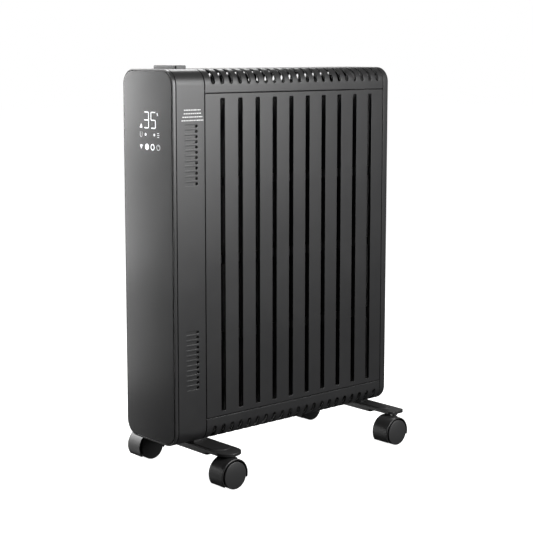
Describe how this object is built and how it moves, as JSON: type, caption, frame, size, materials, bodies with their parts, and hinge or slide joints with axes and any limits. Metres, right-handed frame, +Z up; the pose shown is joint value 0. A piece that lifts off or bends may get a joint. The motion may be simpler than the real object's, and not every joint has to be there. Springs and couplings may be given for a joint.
{
  "type": "oil filled radiator heater",
  "caption": "Slim enclosed oil filled radiator with a touch panel at one end, slotted side covers, edge vents and hooded swivel casters.",
  "frame": {"origin": "on the floor under the middle of the overall box", "axes": "-X towards the touch panel end, +X towards the rear end, -Y and +Y the two slotted sides, +Z up"},
  "size_m": [0.463, 0.2512, 0.6455],
  "materials": {
    "satin_black": "fine satin powder coat",
    "touch_panel": "semi-gloss black panel with lit symbols",
    "bezel_trim": "satin trim ring",
    "black_plastic": "moulded satin black",
    "dark_fixture": "dark satin",
    "radiator_steel": "heat resistant black coat",
    "circuit_board": "solder resist",
    "steel": "plain zinc plated",
    "white_nylon": "natural nylon",
    "brass_can": "plain",
    "caster_plastic": "moulded satin black",
    "caster_wheel": "moulded satin black"
  },
  "bodies": {
    "heater": {"front_panel": "touch_panel", "panel_bezel": "bezel_trim", "control_housing": "satin_black", "side_panel_near": "satin_black", "side_panel_far": "satin_black", "top_grille": "satin_black", "bottom_grille": "satin_black", "rear_cap": "satin_black", "front_foot_plate": "satin_black", "rear_foot_plate": "satin_black", "cord_gland": "black_plastic", "key_switch": "dark_fixture", "heater_relay": "dark_fixture", "tip_over_switch": "dark_fixture", "support_frame_near": "dark_fixture", "support_frame_far": "dark_fixture", "display_board": "circuit_board", "power_board": "circuit_board", "heat_shield": "steel", "heating_element": "steel", "oil_filler_plug": "steel", "mains_transformer": "white_nylon", "terminal_block": "white_nylon", "temperature_sensor": "white_nylon", "thermal_cutout": "brass_can", "radiator_fin_1": "radiator_steel", "radiator_fin_2": "radiator_steel", "radiator_fin_3": "radiator_steel", "radiator_fin_4": "radiator_steel", "radiator_fin_5": "radiator_steel", "radiator_fin_6": "radiator_steel", "radiator_fin_7": "radiator_steel", "radiator_fin_8": "radiator_steel", "radiator_fin_9": "radiator_steel", "caster_stem_front_near": "steel", "foot_screw_front_near": "steel", "caster_stem_front_far": "steel", "foot_screw_front_far": "steel", "caster_stem_rear_near": "steel", "foot_screw_rear_near": "steel", "caster_stem_rear_far": "steel", "foot_screw_rear_far": "steel"},
    "key": {"power_key": "black_plastic"},
    "caster_front_near": {"caster_hood_front_near": "caster_plastic", "caster_axle_front_near": "steel"},
    "wheel_front_near_a": {"caster_wheel_front_near_a": "caster_wheel"},
    "wheel_front_near_b": {"caster_wheel_front_near_b": "caster_wheel"},
    "caster_front_far": {"caster_hood_front_far": "caster_plastic", "caster_axle_front_far": "steel"},
    "wheel_front_far_a": {"caster_wheel_front_far_a": "caster_wheel"},
    "wheel_front_far_b": {"caster_wheel_front_far_b": "caster_wheel"},
    "caster_rear_near": {"caster_hood_rear_near": "caster_plastic", "caster_axle_rear_near": "steel"},
    "wheel_rear_near_a": {"caster_wheel_rear_near_a": "caster_wheel"},
    "wheel_rear_near_b": {"caster_wheel_rear_near_b": "caster_wheel"},
    "caster_rear_far": {"caster_hood_rear_far": "caster_plastic", "caster_axle_rear_far": "steel"},
    "wheel_rear_far_a": {"caster_wheel_rear_far_a": "caster_wheel"},
    "wheel_rear_far_b": {"caster_wheel_rear_far_b": "caster_wheel"}
  },
  "joints": [
    {"name": "power_key_press", "type": "slide", "parent": "heater", "child": "key", "axis": [0, 0, -1], "range_m": [0, 0.0025], "stiffness_N_per_m": 400, "springref_m": -0.001},
    {"name": "caster_swivel_front_near", "type": "hinge", "parent": "heater", "child": "caster_front_near", "pos_m": [-0.1533, -0.106, 0.045], "axis": [0, 0, 1], "continuous": true},
    {"name": "wheel_spin_front_near_a", "type": "hinge", "parent": "caster_front_near", "child": "wheel_front_near_a", "pos_m": [-0.1633, -0.106, 0.0215], "axis": [0, 1, 0], "continuous": true},
    {"name": "wheel_spin_front_near_b", "type": "hinge", "parent": "caster_front_near", "child": "wheel_front_near_b", "pos_m": [-0.1633, -0.106, 0.0215], "axis": [0, 1, 0], "continuous": true},
    {"name": "caster_swivel_front_far", "type": "hinge", "parent": "heater", "child": "caster_front_far", "pos_m": [-0.1533, 0.106, 0.045], "axis": [0, 0, 1], "continuous": true},
    {"name": "wheel_spin_front_far_a", "type": "hinge", "parent": "caster_front_far", "child": "wheel_front_far_a", "pos_m": [-0.1633, 0.106, 0.0215], "axis": [0, 1, 0], "continuous": true},
    {"name": "wheel_spin_front_far_b", "type": "hinge", "parent": "caster_front_far", "child": "wheel_front_far_b", "pos_m": [-0.1633, 0.106, 0.0215], "axis": [0, 1, 0], "continuous": true},
    {"name": "caster_swivel_rear_near", "type": "hinge", "parent": "heater", "child": "caster_rear_near", "pos_m": [0.2081, -0.106, 0.045], "axis": [0, 0, 1], "continuous": true},
    {"name": "wheel_spin_rear_near_a", "type": "hinge", "parent": "caster_rear_near", "child": "wheel_rear_near_a", "pos_m": [0.1981, -0.106, 0.0215], "axis": [0, 1, 0], "continuous": true},
    {"name": "wheel_spin_rear_near_b", "type": "hinge", "parent": "caster_rear_near", "child": "wheel_rear_near_b", "pos_m": [0.1981, -0.106, 0.0215], "axis": [0, 1, 0], "continuous": true},
    {"name": "caster_swivel_rear_far", "type": "hinge", "parent": "heater", "child": "caster_rear_far", "pos_m": [0.2081, 0.106, 0.045], "axis": [0, 0, 1], "continuous": true},
    {"name": "wheel_spin_rear_far_a", "type": "hinge", "parent": "caster_rear_far", "child": "wheel_rear_far_a", "pos_m": [0.1981, 0.106, 0.0215], "axis": [0, 1, 0], "continuous": true},
    {"name": "wheel_spin_rear_far_b", "type": "hinge", "parent": "caster_rear_far", "child": "wheel_rear_far_b", "pos_m": [0.1981, 0.106, 0.0215], "axis": [0, 1, 0], "continuous": true}
  ]
}
